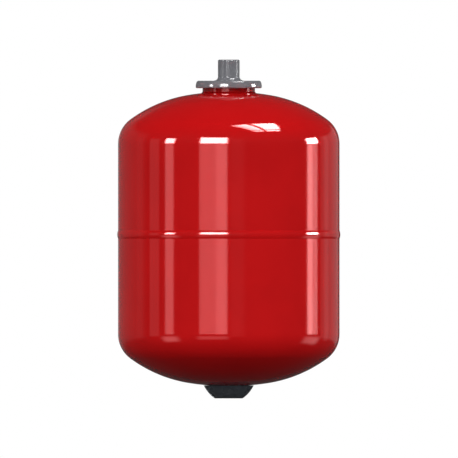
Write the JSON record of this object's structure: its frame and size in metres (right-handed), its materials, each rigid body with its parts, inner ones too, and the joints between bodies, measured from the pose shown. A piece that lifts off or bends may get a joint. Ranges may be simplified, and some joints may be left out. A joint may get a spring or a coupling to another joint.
{
  "type": "expansion vessel",
  "caption": "Steel expansion vessel for a closed heating circuit, domed at both ends, with a crimped flange, an inner rubber bladder and a capped charging valve.",
  "frame": {"origin": "on the vessel's axis, at the foot of the connection thread", "axes": "+Z along the axis, out of the connection; -Y is the front, faced by the cover's first finger flute"},
  "size_m": [0.272, 0.272, 0.413],
  "materials": {
    "red_paint": "gloss baked enamel",
    "grey_flange": "satin zinc-grey coating",
    "bare_steel": "bare turned steel",
    "black_plastic": "fine moulded texture",
    "butyl_rubber": "matt moulded rubber",
    "seal_rubber": "smooth rubber",
    "nickel_brass": "nickel-plated brass",
    "bare_brass": "turned brass",
    "seal_plastic": "white sealing ring",
    "spring_steel": "drawn stainless wire"
  },
  "bodies": {
    "vessel": {"upper_shell": "red_paint", "lower_shell": "red_paint", "waist_weld": "red_paint", "neck_collar": "red_paint", "neck_weld": "red_paint", "flange": "grey_flange", "connection_nipple": "grey_flange", "nipple_weld": "grey_flange", "valve_socket": "red_paint", "socket_weld": "red_paint", "valve_gasket": "seal_rubber", "valve_body": "nickel_brass", "core_head": "bare_brass", "core_barrel": "bare_brass", "core_seal": "seal_plastic", "core_spring": "spring_steel"},
    "cover": {"protective_cover": "black_plastic"},
    "cap_seal": {"cap_seal": "seal_rubber"},
    "dust_cap": {"dust_cap": "bare_brass"},
    "valve_pin": {"valve_pin": "nickel_brass", "pin_seat": "seal_rubber"},
    "bladder": {"bladder": "butyl_rubber"}
  },
  "joints": [
    {"name": "cover_pull", "type": "slide", "parent": "vessel", "child": "cover", "axis": [0, 0, -1], "range_m": [0, 0.06]},
    {"name": "cap_travel", "type": "slide", "parent": "vessel", "child": "cap_seal", "axis": [0, 0, -1], "range_m": [0, 0.00317]},
    {"name": "cap_turn", "type": "hinge", "parent": "cap_seal", "child": "dust_cap", "pos_m": [0, 0, -0.3825], "axis": [0, 0, -1], "range_deg": [0, 1440.1]},
    {"name": "pin_press", "type": "slide", "parent": "vessel", "child": "valve_pin", "axis": [0, 0, 1], "range_m": [0, 0.0012], "stiffness_N_per_m": 800, "springref_m": -0.002, "deforming": ["core_spring"]},
    {"name": "bladder_stretch", "type": "slide", "parent": "vessel", "child": "bladder", "axis": [0, 0, -1], "range_m": [0, 0.05], "stiffness_N_per_m": 2000, "springref_m": -0.005, "deforming": ["bladder"]}
  ],
  "couplings": [
    {"joint": "cap_turn", "follows": "cap_travel", "rad_per_m": 7915.8}
  ]
}
